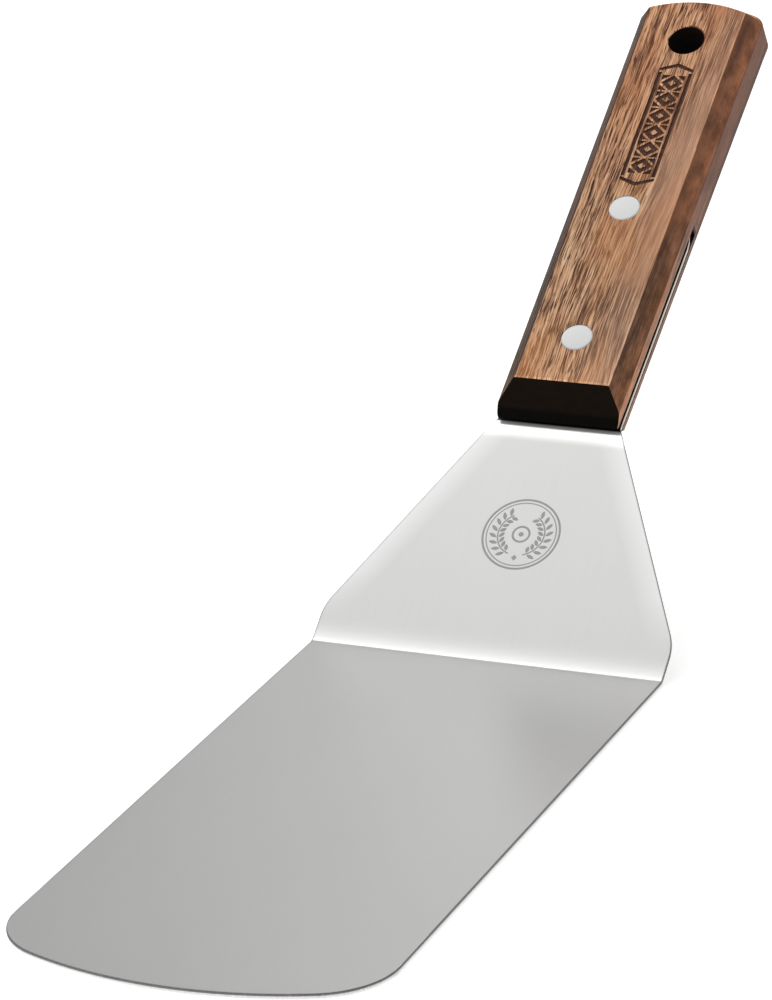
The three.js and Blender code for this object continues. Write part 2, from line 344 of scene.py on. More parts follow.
def sheet_grid():
    """Rows of points (x, q) on the flat pattern, from the blade's front edge to the end of the tang."""
    columns = front_columns()
    front_end = -BLADE_LENGTH + FRONT_ROWS_LENGTH
    shares = [0, 0.02, 0.06] + spaced(0.12, 1, 0.11)
    rows = [[(x, q + (front_end - q) * share) for x, q in columns] for share in shares]
    tight_end = BEND_START + 1.5
    tang_tangent = TANG_BEND_RADIUS * math.tan((NECK_ANGLE - HANDLE_ANGLE) / 2)
    stops = spaced(front_end, -4, 4)
    stops += spaced(-4, BEND_START, 1)
    stops += spaced(BEND_START, tight_end, 0.11)
    stops += spaced(tight_end, SHOULDER_START, 0.4)
    stops += spaced(SHOULDER_START, SHOULDER_END, 0.45)
    stops += spaced(SHOULDER_END, NECK_LENGTH - tang_tangent, 1.6)
    stops += spaced(NECK_LENGTH - tang_tangent, NECK_LENGTH + tang_tangent, 0.3)
    stops += spaced(NECK_LENGTH + tang_tangent, TANG_START, 0.5)
    stops += spaced(TANG_START, TANG_ROUND, 4)
    stops += [TANG_ROUND + TANG_ROUND_RADIUS * math.sin(math.radians(a)) for a in range(0, 82, 9)]
    for q in stops:
        half_width = sheet_half_width(q)
        rows.append([(x / BLADE_HALF_WIDTH * half_width, q) for x, _ in columns])
    return rows


def make_sheet():
    """The bent sheet: two faces on one grid, joined by a rounded rim.

    One UV map holds the flat pattern. The other holds the distance from the edge and the place through the
    thickness. Both are in metres.
    """
    rows = sheet_grid()
    width = len(rows[0])
    grid = np.array(rows)
    height = len(rows)
    border = [(0, j) for j in range(width)]
    border += [(i, width - 1) for i in range(1, height)]
    border += [(height - 1, j) for j in reversed(range(width - 1))]
    border += [(i, 0) for i in reversed(range(1, height - 1))]
    edge = np.array([grid[i, j] for i, j in border])
    tangent = np.roll(edge, -1, axis=0) - np.roll(edge, 1, axis=0)
    outward = np.stack([tangent[:, 1], -tangent[:, 0]], axis=1)
    outward /= np.linalg.norm(outward, axis=1)[:, None]
    flat = grid.reshape(-1, 2)
    to_edge = np.array([np.min(np.hypot(*(edge - point).T)) for point in flat])
    for (i, j), normal in zip(border, outward):
        grid[i, j] -= SHEET_EDGE_EASE * normal
    half = SHEET_THICKNESS / 2

    points = []
    pattern = []

    def place(x, q, lift, distance):
        middle, slope = sheet_frame(q)
        points.append(middle + Vector((x, 0, 0)) + along(slope + math.pi / 2, lift))
        pattern.append((x, q, distance, lift))

    for lift in (half, -half):
        for (x, q), distance in zip(grid.reshape(-1, 2), to_edge):
            place(x, q, lift, distance)

    count = width * height
    faces = []
    for i in range(height - 1):
        for j in range(width - 1):
            a = i * width + j
            b = a + 1
            c = b + width
            d = a + width
            faces.append((a, b, c, d))
            faces.append((count + a, count + d, count + c, count + b))
    loops = [[i * width + j for i, j in border]]
    for angle in (30, 60, 90, -90, -60, -30):
        turn = math.radians(abs(angle))
        loop = []
        reach = SHEET_EDGE_EASE * (math.sin(turn) - 1)
        rise = half - SHEET_EDGE_EASE * (1 - math.cos(turn))
        for (x, q), normal in zip(edge, outward):
            loop.append(len(points))
            place(x + normal[0] * reach, q + normal[1] * reach, math.copysign(rise, angle), 0)
        loops.append(loop)
    loops.append([count + index for index in loops[0]])

    rim_start = len(faces)
    for upper, lower in zip(loops, loops[1:]):
        for k in range(len(upper)):
            n = (k + 1) % len(upper)
            faces.append((upper[k], lower[k], lower[n], upper[n]))
    piece = make_object("blade_neck_and_tang", points, faces)
    mesh = piece.data
    flat_map = mesh.uv_layers.new(name="flat")
    edge_map = mesh.uv_layers.new(name="edge")
    for loop in mesh.loops:
        x, q, distance, lift = pattern[loop.vertex_index]
        flat_map.data[loop.index].uv = (x * MM, q * MM)
        edge_map.data[loop.index].uv = (distance * MM, lift * MM)
    for polygon in mesh.polygons:
        polygon.material_index = 1 if polygon.index >= rim_start else 0
    return piece


# Millimetres on the neck: x, and the distance up from the blade's bend
MARK_CENTRE = (-0.6, 29.9)
MARK_RADIUS = 8.4
MARK_DEPTH = 0.035


def leaf(x, y, angle, length, width, count=7):
    """A pointed leaf from its stalk at x, y."""
    side = [(length * i / count, width / 2 * math.sin(math.pi * i / count) ** 0.8) for i in range(count + 1)]
    outline = side + [(a, -b) for a, b in reversed(side[1:-1])]
    turn_x, turn_y = math.cos(angle), math.sin(angle)
    return [(x + a * turn_x - b * turn_y, y + a * turn_y + b * turn_x) for a, b in outline]


def arc_band(radius, width, start, end, count=20):
    angles = [math.radians(start + (end - start) * i / count) for i in range(count + 1)]
    outer = [((radius + width / 2) * math.cos(a), (radius + width / 2) * math.sin(a)) for a in angles]
    inner = [((radius - width / 2) * math.cos(a), (radius - width / 2) * math.sin(a)) for a in angles]
    return outer + inner[::-1]


def mark_outlines():
    """A plain wreath in a double ring."""
    outlines = [
        (circle(MARK_RADIUS, 96), circle(7.95, 96)),
        (circle(7.55, 96), circle(7.3, 96)),
        (circle(2.0, 48), circle(1.55, 48)),
        circle(0.55, 24),
    ]
    for side in (-1, 1):
        band = arc_band(5.0, 0.3, -72, 58)
        outlines.append([(side * x, y) for x, y in band])
        for k in range(8):
            angle = math.radians(-62 + 16 * k)
            for radius, lean, length in ((5.22, 38, 1.95), (4.78, 146, 1.6)):
                stalk = (radius * math.cos(angle), radius * math.sin(angle))
                shape = leaf(*stalk, angle + math.radians(lean), length, 0.8)
                outlines.append([(side * x, y) for x, y in shape])
    outlines.append([(0.6, -5.6), (0, -4.9), (-0.6, -5.6), (0, -6.3)])
    return [shifted(outline, *MARK_CENTRE) for outline in outlines]


def is_mark(centre):
    """True for a face on the floor or the walls of the etched mark."""
    local = NECK_FRAME.inverted() @ (centre / MM)
    across = math.hypot(local.x - MARK_CENTRE[0], local.y - MARK_CENTRE[1])
    return across < MARK_RADIUS + 0.6 and 0 < local.z < SHEET_THICKNESS / 2 - MARK_DEPTH / 4


# ---------------------------------------------------------------- handle

def fillet(before, corner, after, radius, count=3):
    """Points of a small arc that rounds one corner of a profile."""
    before, corner, after = (Vector(p) for p in (before, corner, after))
    a = (before - corner).normalized()
    b = (after - corner).normalized()
    half = a.angle(b) / 2
    reach = radius / math.tan(half)
    centre = corner + (a + b).normalized() * radius / math.sin(half)
    start = corner + a * reach - centre
    end = corner + b * reach - centre
    turn = start.angle(end)
    points = []
    for i in range(count + 1):
        share = i / count
        start_weight = math.sin((1 - share) * turn) / math.sin(turn)
        end_weight = math.sin(share * turn) / math.sin(turn)
        points.append(tuple(centre + (start * start_weight + end * end_weight)))
    return points


def handle_profile():
    """Pairs of inset and height round the block's side, from its top face to its bottom face."""
    side = SIDE_FACE_HEIGHT / 2
    top = side + BEVEL_DROP
    upper = fillet((BEVEL_INSET + 4, top), (BEVEL_INSET, top), (0, side), HANDLE_EDGE_RADIUS)
    upper += fillet((BEVEL_INSET, top), (0, side), (0, 0), HANDLE_EDGE_RADIUS)
    return upper + [(inset, -height) for inset, height in reversed(upper)]


def handle_outline(inset):
    """The block's plan at an inset: the same number of points, in the same order, for every inset."""
    front = HANDLE_FRONT + inset
    nose_radius = max(NOSE_CORNER_RADIUS - inset, 0.02)
    corner_radius = max(REAR_CORNER_RADIUS - inset, 0.25)
    edge_radius = REAR_EDGE_RADIUS - inset
    corner_x = REAR_HALF_WIDTH - inset - corner_radius
    distance = edge_radius - corner_radius
    rear_centre = HANDLE_REAR - REAR_EDGE_RADIUS
    corner_y = rear_centre + math.sqrt(distance ** 2 - corner_x ** 2)
    spread = math.asin(corner_x / distance)
    right = []
    nose_x = handle_half_width(front) - inset - nose_radius
    for i in range(7):
        angle = math.radians(-90 + 15 * i)
        right.append((
            nose_x + nose_radius * math.cos(angle),
            front + nose_radius + nose_radius * math.sin(angle),
        ))
    start = front + nose_radius
    for i in range(1, 28):
        y = start + (corner_y - start) * i / 28
        right.append((handle_half_width(y) - inset, y))
    for i in range(11):
        angle = (math.pi / 2 - spread) * i / 10
        right.append((corner_x + corner_radius * math.cos(angle), corner_y + corner_radius * math.sin(angle)))
    for i in range(1, 13):
        angle = spread * (1 - i / 12)
        right.append((edge_radius * math.sin(angle), rear_centre + edge_radius * math.cos(angle)))
    return right + [(-x, y) for x, y in reversed(right[:-1])]


def make_block():
    """The solid block, from its plan at each level of its side."""
    profile = handle_profile()
    outlines = [handle_outline(inset) for inset, _ in profile]
    count = len(outlines[0])
    vertices = []
    faces = []
    for (_, height), outline in zip(profile, outlines):
        vertices += [(x, y, HANDLE_LIFT + height * handle_thickening(y)) for x, y in outline]
    for level in range(len(profile) - 1):
        for i in range(count):
            j = (i + 1) % count
            a, b = level * count, (level + 1) * count
            faces.append((a + i, a + j, b + j, b + i))
    faces.append(tuple(range(count)))
    bottom = (len(profile) - 1) * count
    faces.append(tuple(bottom + i for i in reversed(range(count))))
    return make_object("walnut_handle", vertices, faces, HANDLE_FRAME)


def nose_cutter(side):
    """The wood removed above (side = 1) or below (side = -1) the sloped nose, with a small worn edge."""
    top, bottom = handle_faces(HANDLE_FRONT + NOSE_LENGTH)
    height = top - HANDLE_LIFT if side > 0 else HANDLE_LIFT - bottom
    slope = (NOSE_LENGTH - NOSE_STEP_LENGTH) / (height - NOSE_STEP_HEIGHT)
    profile = [(-10, 0), (0, 0)]
    step = (NOSE_STEP_LENGTH, NOSE_STEP_HEIGHT)
    edge = (NOSE_LENGTH - NOSE_EDGE_DROP * slope, height - NOSE_EDGE_DROP)
    run = NOSE_LENGTH + NOSE_EDGE_WIDTH - edge[0]
    profile += fillet((0, 0), step, edge, NOSE_STEP_RADIUS, 4)
    profile += [edge, (edge[0] + 5 * run, edge[1] + 5 * NOSE_EDGE_DROP), (40, 14), (-10, 14)]
    vertices = [(x, HANDLE_FRONT + y, HANDLE_LIFT + side * z) for x in (-60, 60) for y, z in profile]
    count = len(profile)
    faces = [tuple(range(count)), tuple(count + i for i in reversed(range(count)))]
    faces += [(i, (i + 1) % count, count + (i + 1) % count, count + i) for i in range(count)]
    return make_object("nose_cutter", vertices, faces, HANDLE_FRAME)


def slot_cutter():
    half_width = handle_half_width(SLOT_STRAIGHT)
    wide = half_width + 10
    outline = [(-wide, -10), (wide, -10), (wide, SLOT_STRAIGHT)]
    for i in range(33):
        angle = math.pi * i / 32
        outline.append((half_width * math.cos(angle), SLOT_STRAIGHT + half_width * math.sin(angle)))
    outline.append((-wide, SLOT_STRAIGHT))
    bottom = -SHEET_THICKNESS / 2 - SLOT_BELOW_TANG
    top = SHEET_THICKNESS / 2 + SLOT_ABOVE_TANG
    return join_prisms("slot_cutter", [outline], bottom, top, HANDLE_FRAME)


def hang_hole_cutter():
    top, bottom = handle_faces(HANG_HOLE_POSITION)
    radius = HANG_HOLE_RADIUS
    rim = HOLE_RIM_CHAMFER
    profile = [
        (0, bottom - 4),
        (radius + rim + 4, bottom - 4),
        (radius, bottom + rim),
        (radius, top - rim),
        (radius + rim + 4, top + 4),
        (0, top + 4),
    ]
    return make_turned("hang_hole_cutter", profile, HANG_HOLE_POSITION)


def rivet_cutter(position):
    top, bottom = handle_faces(position)
    tube = RIVET_TUBE_RADIUS + RIVET_FIT
    head = RIVET_HEAD_RADIUS + RIVET_FIT
    floor = RIVET_HEAD_THICKNESS + RIVET_FIT
    profile = [
        (0, bottom - 4),
        (head, bottom - 4),
        (head, bottom + floor),
        (tube, bottom + floor),
        (tube, top - floor),
        (head, top - floor),
        (head, top + 4),
        (0, top + 4),
    ]
    return make_turned("rivet_cutter", profile, position)


# The burned-in band on the handle's top face
BAND_START, BAND_END = 64, 97.5
BAND_CENTRE = 0.3
BAND_DEPTH = 0.28


def ornament_outlines():
    """A burned-in band: lozenges between two rails, closed by a chevron at each end."""
    count = 6
    first = BAND_START + 2.6
    last = BAND_END - 2.6
    pitch = (last - first) / count
    rail_outer, rail_inner = 3.9, 3.05
    half_length, half_width = pitch * 0.46, 2.45
    outlines = []
    for side in (-1, 1):
        outer, inner = side * rail_outer, side * rail_inner
        start, end = first - 0.6, last + 0.6
        outlines.append([(outer, start), (inner, start), (inner, end), (outer, end)])
    for k in range(count):
        middle = first + pitch * (k + 0.5)
        outlines.append(tuple(
            [(half_width * share, middle), (0, middle + half_length * share),
             (-half_width * share, middle), (0, middle - half_length * share)]
            for share in (1, 0.36)
        ))
        for side in (-1, 1):
            for way in (-1, 1):
                joint = middle + way * pitch / 2
                near, far = joint - way * 0.2, joint - way * 1.7
                outlines.append([(side * 2.6, near), (side * 2.6, far), (side * 0.7, near)])
    for end, way in ((BAND_START, 1), (BAND_END, -1)):
        outlines.append([
            (-rail_outer, end + way * 0.9), (0, end - way * 0.7), (rail_outer, end + way * 0.9),
            (rail_outer, end + way * 1.75), (0, end + way * 0.35), (-rail_outer, end + way * 1.75),
        ])
    return [shifted(outline, BAND_CENTRE, 0) for outline in outlines]


def ornament_frame():
    """The ornament lies in the handle's top face, which rises towards the rear."""
    top = handle_faces(BAND_START)[0]
    rise = math.atan2(handle_faces(BAND_END)[0] - top, BAND_END - BAND_START)
    to_start = Matrix.Translation((0, -BAND_START, 0))
    place = HANDLE_FRAME @ Matrix.Translation(Vector((0, BAND_START, top)))
    return place @ Matrix.Rotation(rise, 4, "X") @ to_start


# The handle's material slots
FACE, BEVEL, STAIN_AND_SHADE, BURNED, SIDE, EDGE_HIGHLIGHT = range(6)


def paint_handle(piece):
    """Gives each face its material slot, by the way it faces and the place where it lies."""
    to_local = HANDLE_FRAME.inverted()
    for polygon in piece.data.polygons:
        local = to_local @ (polygon.center / MM)
        normal = to_local.to_3x3() @ polygon.normal
        level = max(abs(normal.x), abs(normal.y))
        from_hole = math.hypot(local.x, local.y - HANG_HOLE_POSITION)
        in_band = abs(local.x - BAND_CENTRE) < 4.2 and BAND_START - 1.5 < local.y < BAND_END + 1.5
        depth = handle_faces(local.y)[0] - local.z
        index = FACE
        if level > 0.1:
            # Rounded edges facing right or to the rear get a painted highlight; those facing left keep the
            # bevel's colour
            rounded = level < 0.7 and normal.z > 0 and max(normal.x, normal.y) > 0.1
            index = EDGE_HIGHLIGHT if rounded else BEVEL
        if level > 0.85:
            index = SIDE
        # On the nose, steep faces take the stained and shaded end grain, shallow edge faces the painted
        # highlight
        if local.y < HANDLE_FRONT + NOSE_LENGTH + 1 and normal.y < -0.1:
            index = STAIN_AND_SHADE if normal.y < -0.5 else EDGE_HIGHLIGHT
        # Painted shade: the hang hole's wall takes the near-black end grain
        if from_hole < HANG_HOLE_RADIUS + 0.05 and abs(normal.z) < 0.5:
            index = STAIN_AND_SHADE
        if in_band and 0.03 < depth < BAND_DEPTH + 0.1:
            index = BURNED
        polygon.material_index = index


def make_handle():
    piece = make_block()
    cutters = [nose_cutter(1), nose_cutter(-1), slot_cutter(), hang_hole_cutter()]
    cutters += [rivet_cutter(position) for position in RIVET_POSITIONS.values()]
    cutters.append(join_prisms("ornament_cutter", ornament_outlines(), -BAND_DEPTH, 1, ornament_frame()))
    for cutter in cutters:
        cut(piece, cutter)
    paint_handle(piece)
    finish_shading(piece)
    return piece


# ---------------------------------------------------------------- rivets

def make_rivets(place, position):
    top, bottom = handle_faces(position)
    slope = math.atan(THICKENING * (SIDE_FACE_HEIGHT / 2 + BEVEL_DROP) / (HANDLE_REAR - HANDLE_FRONT))
    edge = RIVET_EDGE_CHAMFER
    head = RIVET_HEAD_RADIUS
    pin = RIVET_TUBE_BORE_RADIUS - RIVET_FIT
    male = make_turned(f"{place}_rivet_pin_half", [
        (0, top + 0.02),
        (head - 4 * edge, top + 0.01),
        (head - edge, top - 0.01),
        (head - edge * 0.3, top - edge * 0.35),
        (head, top - edge),
        (head, top - RIVET_HEAD_THICKNESS),
        (pin, top - RIVET_HEAD_THICKNESS),
        (pin, bottom + RIVET_FLOOR + 0.5),
        (pin - 0.3, bottom + RIVET_FLOOR + RIVET_FIT),
        (0, bottom + RIVET_FLOOR + RIVET_FIT),
    ], position, slope)
    female = make_turned(f"{place}_rivet_tube_half", [
        (0, bottom - 0.02),
        (head - 4 * edge, bottom - 0.01),
        (head - edge, bottom + 0.01),
        (head - edge * 0.3, bottom + edge * 0.35),
        (head, bottom + edge),
        (head, bottom + RIVET_HEAD_THICKNESS),
        (RIVET_TUBE_RADIUS, bottom + RIVET_HEAD_THICKNESS),
        (RIVET_TUBE_RADIUS, top - RIVET_HEAD_THICKNESS - RIVET_FIT),
        (RIVET_TUBE_BORE_RADIUS, top - RIVET_HEAD_THICKNESS - RIVET_FIT),
        (RIVET_TUBE_BORE_RADIUS, bottom + RIVET_FLOOR),
        (0, bottom + RIVET_FLOOR),
    ], position, -slope)
    for piece in (male, female):
        finish_shading(piece)
    return male, female


# ---------------------------------------------------------------- materials

def linear(*rgb):
    values = [c / 255 for c in rgb]
    return tuple(c / 12.92 if c <= 0.04045 else ((c + 0.055) / 1.055) ** 2.4 for c in values) + (1,)


class Nodes:
    """Short names for building a node material."""

    def __init__(self, name):
        self.material = bpy.data.materials.new(name)
        self.material.use_nodes = True
        self.tree = self.material.node_tree
        self.shader = self.tree.nodes["Principled BSDF"]

    def add(self, kind, inputs=None, **settings):
        node = self.tree.nodes.new(kind)
        for key, value in settings.items():
            setattr(node, key, value)
        for key, value in (inputs or {}).items():
            self.put(node.inputs[key], value)
        return node

    def put(self, socket, value):
        if isinstance(value, bpy.types.NodeSocket):
            self.tree.links.new(value, socket)
        else:
            socket.default_value = value

    def math(self, operation, a, b=0.0):
        node = self.add("ShaderNodeMath", operation=operation)
        self.put(node.inputs[0], a)
        self.put(node.inputs[1], b)
        return node.outputs[0]

    def noise(self, vector, detail, roughness, distortion=0.0):
        node = self.add("ShaderNodeTexNoise", {
            "Vector": vector, "Scale": 1.0, "Detail": detail,
            "Roughness": roughness, "Distortion": distortion,
        })
        return node.outputs["Fac"]

    def position(self):
        return self.add("ShaderNodeTexCoord").outputs["Object"]

    def uv(self, name):
        return self.add("ShaderNodeUVMap", uv_map=name).outputs[0]

    def split(self, vector):
        return self.add("ShaderNodeSeparateXYZ", {"Vector": vector}).outputs

    def stretch(self, vector, scale, location=(0, 0, 0)):
        node = self.add("ShaderNodeMapping", {"Vector": vector, "Scale": scale, "Location": location})
        return node.outputs[0]

    def ramp(self, value, stops):
        node = self.add("ShaderNodeValToRGB", {"Fac": value})
        elements = node.color_ramp.elements
        while len(elements) < len(stops):
            elements.new(0.5)
        for element, (position, colour) in zip(elements, stops):
            element.position = position
            element.color = colour if len(colour) == 4 else (*colour, 1)
        return node.outputs["Color"]

    def level(self, value, low, high, to_low=0.0, to_high=1.0):
        node = self.add("ShaderNodeMapRange", {
            "Value": value, "From Min": low, "From Max": high, "To Min": to_low, "To Max": to_high,
        })
        return node.outputs["Result"]

    def mix(self, share, a, b, blend="MIX"):
        node = self.add("ShaderNodeMix", data_type="RGBA", blend_type=blend)
        self.put(node.inputs[0], share)
        self.put(node.inputs[6], a)
        self.put(node.inputs[7], b)
        return node.outputs[2]

    def bump(self, height, distance, strength):
        node = self.add("ShaderNodeBump", {"Height": height, "Distance": distance, "Strength": strength})
        self.put(self.shader.inputs["Normal"], node.outputs[0])

    def surface(self, **values):
        for key, value in values.items():
            self.put(self.shader.inputs[key.replace("_", " ")], value)


def steel_material():
    """Satin stainless steel, brushed along the blade, with a painted highlight along the neck's edges."""
    n = Nodes("brushed_stainless")
    tone = 0.8
    roughness = 0.29
    entry = NECK_END * MM
    flat = n.uv("flat")
    up = n.split(flat)[1]
    edge = n.split(n.uv("edge"))[0]
    fine = n.noise(n.stretch(flat, (3300, 60, 1)), 3, 0.6)
    long = n.noise(n.stretch(flat, (1400, 26, 1)), 3, 0.5)
    cloud = n.noise(n.stretch(flat, (34, 22, 1)), 3, 0.5)
    brushed = (tone * 0.975, tone * 0.975, tone * 0.965, 1)
    colour = n.mix(n.level(fine, 0.3, 0.7), brushed, (tone, tone, tone * 0.985, 1))
    colour = n.mix(n.level(cloud, 0.35, 0.7, 0, 0.35), colour, (tone * 0.94, tone * 0.935, tone * 0.925, 1))

    # Painted highlight along the neck's edges, a dark line of painted shade at the rim itself, and painted
    # shadow on the tang inside the handle's slot
    edge_highlight_falloff = n.level(edge, 0.0006, 0.0055, 1, 0)
    painted_edge_highlight = n.math("MULTIPLY", edge_highlight_falloff, n.level(up, 0.006, 0.018, 0, 0.75))
    colour = n.mix(painted_edge_highlight, colour, (0.98, 0.98, 0.975, 1))
    # Painted shade: a dark line on the face next to the rim
    colour = n.mix(n.level(edge, 0.00012, 0.00038, 0.6, 0), colour, (0.2, 0.2, 0.198, 1))
    # Painted shadow: near black on the tang where it lies inside the handle's slot
    colour = n.mix(n.level(up, entry + 0.0005, entry + 0.0009), colour, (0.012, 0.01, 0.008, 1))

    grain = n.math("ADD", n.math("MULTIPLY", fine, 0.7), n.math("MULTIPLY", long, 0.3))
    rough = n.level(grain, 0.35, 0.65, roughness - 0.008, roughness + 0.008)
    n.surface(Base_Color=colour, Metallic=0.7, Roughness=rough)
    n.bump(fine, 2e-8, 0.5)
    return n.material


def sheared_edge_material():
    """The sheet's rim: a dark band above as painted shade, a rubbed band below, and on the tang a darker,
    warmer tone as painted shade and a painted reflection of the wood.
    """
    n = Nodes("sheet_edge_steel")
    entry = NECK_END * MM
    position = n.position()
    marks = n.noise(n.stretch(position, (2600, 2600, 900)), 4, 0.6)
    # Painted shade: the upper band of the rim is dark
    colour = n.ramp(marks, [(0.3, (0.12, 0.12, 0.118)), (0.7, (0.2, 0.2, 0.196))])
    lift = n.split(n.uv("edge"))[1]
    rubbed = n.ramp(marks, [(0.3, (0.66, 0.66, 0.655)), (0.7, (0.84, 0.84, 0.83))])
    colour = n.mix(n.level(lift, -0.0001, 0.00006, 1, 0), colour, rubbed)
    up = n.split(n.uv("flat"))[1]
    # Painted shade and a painted warm reflection of the wood on the tang's rim inside the handle
    tang_edge_shade_and_reflection = n.ramp(marks, [(0.3, (0.46, 0.43, 0.4)), (0.7, (0.6, 0.565, 0.53))])
    colour = n.mix(n.level(up, entry + 0.001, entry + 0.004), colour, tang_edge_shade_and_reflection)
    n.surface(Base_Color=colour, Metallic=1.0, Roughness=n.level(marks, 0.3, 0.7, 0.36, 0.5))
    n.bump(marks, 0.00001, 0.5)
    return n.material


def etched_material():
    """The dull, darker steel of the etched mark."""
    n = Nodes("etched_steel")
    position = n.position()
    grains = n.noise(n.stretch(position, (5200, 5200, 5200)), 3, 0.6)
    colour = n.ramp(grains, [(0.3, (0.32, 0.315, 0.305)), (0.7, (0.42, 0.415, 0.4))])
    n.surface(Base_Color=colour, Metallic=0.8, Roughness=n.level(grains, 0.3, 0.7, 0.5, 0.62))
    n.bump(grains, 0.000008, 0.5)
    return n.material


def rivet_material():
    """Ground rivet heads: fine scratches in one direction."""
    n = Nodes("rivet_steel")
    position = n.position()
    scratches = n.noise(n.stretch(position, (9000, 500, 500)), 3, 0.6)
    colour = n.ramp(scratches, [(0.3, (0.44, 0.445, 0.44)), (0.7, (0.52, 0.525, 0.515))])
    n.surface(Base_Color=colour, Metallic=1.0, Roughness=n.level(scratches, 0.3, 0.7, 0.36, 0.46))
    n.bump(scratches, 0.000004, 0.5)
    return n.material


def handle_space(n):
    """Millimetres in the handle's own frame: x across, y along, z up."""
    node = n.add("ShaderNodeMapping", {
        "Vector": n.position(), "Location": TANG_BEND * MM,
        "Rotation": (HANDLE_ANGLE, 0, 0), "Scale": (MM, MM, MM),
    }, vector_type="TEXTURE")
    return node.outputs[0]


def walnut_colours(n):
    """Open-grained walnut: long figure, fine streaks and short dark pores, busiest left of the middle."""
    space = handle_space(n)
    wander = n.noise(n.stretch(space, (0.05, 0.03, 0.05)), 2, 0.5)
    wander = n.math("MULTIPLY", n.math("SUBTRACT", wander, 0.5), 3.5)
    shift = n.add("ShaderNodeCombineXYZ", {"X": wander})
    warped = n.add("ShaderNodeVectorMath", {0: space, 1: shift.outputs[0]}, operation="ADD").outputs[0]
    across = n.split(warped)[0]
    figure = n.noise(n.stretch(warped, (0.32, 0.022, 0.24)), 4, 0.55, 0.4)
    streaks = n.noise(n.stretch(warped, (1.7, 0.06, 1.1), (3, 1, 7)), 5, 0.6)
    fibres = n.noise(n.stretch(warped, (5.5, 0.30, 5.0), (9, 4, 2)), 4, 0.65)
    pores = n.noise(n.stretch(warped, (3.0, 0.19, 2.8), (1, 8, 5)), 2, 0.5)
    patches = n.noise(n.stretch(space, (0.08, 0.045, 0.12), (5, 2, 1)), 2, 0.5)
    busy = n.level(across, 1.0, 6.5, 1.0, 0.25)
    tone = n.math("ADD", n.math("MULTIPLY", figure, 0.40), n.math("MULTIPLY", streaks, 0.46))
    tone = n.math("ADD", tone, n.math("MULTIPLY", fibres, 0.34))
    tone = n.math("ADD", tone, n.math("MULTIPLY", patches, 0.26))
    lines = n.noise(n.stretch(warped, (3.4, 0.07, 3.2), (6, 3, 8)), 3, 0.6)
    tone = n.math("ADD", tone, n.math("MULTIPLY", n.math("SUBTRACT", lines, 0.5), 0.8))
    tone = n.level(tone, 0.57, 0.865)
    colour = n.ramp(tone, [
        (0.0, linear(72, 44, 30)),
        (0.22, linear(122, 84, 60)),
        (0.46, linear(176, 131, 98)),
        (0.75, linear(206, 161, 123)),
        (1.0, linear(224, 186, 150)),
    ])
    even = n.ramp(tone, [(0.1, linear(134, 99, 77)), (0.9, linear(192, 155, 128))])
    colour = n.mix(n.level(across, 2.5, 8.0, 0.0, 0.75), colour, even)
    dark = n.math("MULTIPLY", n.level(pores, 0.54, 0.61, 0, 0.92), busy)
    colour = n.mix(dark, colour, linear(60, 35, 22))
    warm = n.noise(n.stretch(space, (0.12, 0.03, 0.16), (2, 6, 3)), 2, 0.5)
    colour = n.mix(n.level(warm, 0.48, 0.68, 0, 0.45), colour, linear(192, 130, 82))

    # Darker and redder towards the rear, with a pale patch behind the rear rivet at the right
    x, y = n.split(space)[:2]
    rear_tone = n.ramp(n.math("DIVIDE", y, HANDLE_REAR), [
        (0.1, (1.0, 1.0, 1.0)),
        (0.36, (0.87, 0.87, 0.88)),
        (0.7, (0.86, 0.77, 0.72)),
        (0.95, (0.88, 0.76, 0.69)),
    ])
    colour = n.mix(1.0, colour, rear_tone, "MULTIPLY")
    away_x = n.math("POWER", n.math("DIVIDE", n.math("SUBTRACT", x, 9.0), 5.0), 2.0)
    away_y = n.math("POWER", n.math("DIVIDE", n.math("SUBTRACT", y, 70.0), 20.0), 2.0)
    colour = n.mix(n.level(n.math("ADD", away_x, away_y), 1.6, 0.2, 0, 0.35), colour, linear(196, 152, 122))
    height = n.math("SUBTRACT", n.math("MULTIPLY", fibres, 0.5), dark)
    return colour, height, dark


def in_slot(n):
    """1 on the walls of the sawn slot, 0 on the rest of the block."""
    x, y, z = n.split(handle_space(n))
    beyond = n.math("MAXIMUM", n.math("SUBTRACT", y, SLOT_STRAIGHT), 0.0)
    reach = n.math("SQRT", n.math("ADD", n.math("MULTIPLY", x, x), n.math("MULTIPLY", beyond, beyond)))
    inside = n.math("LESS_THAN", reach, handle_half_width(SLOT_STRAIGHT) + 0.04)
    above = n.math("GREATER_THAN", z, -SHEET_THICKNESS / 2 - SLOT_BELOW_TANG - 0.02)
    below = n.math("LESS_THAN", z, SHEET_THICKNESS / 2 + SLOT_ABOVE_TANG + 0.02)
    return n.math("MULTIPLY", n.math("MULTIPLY", inside, above), below)


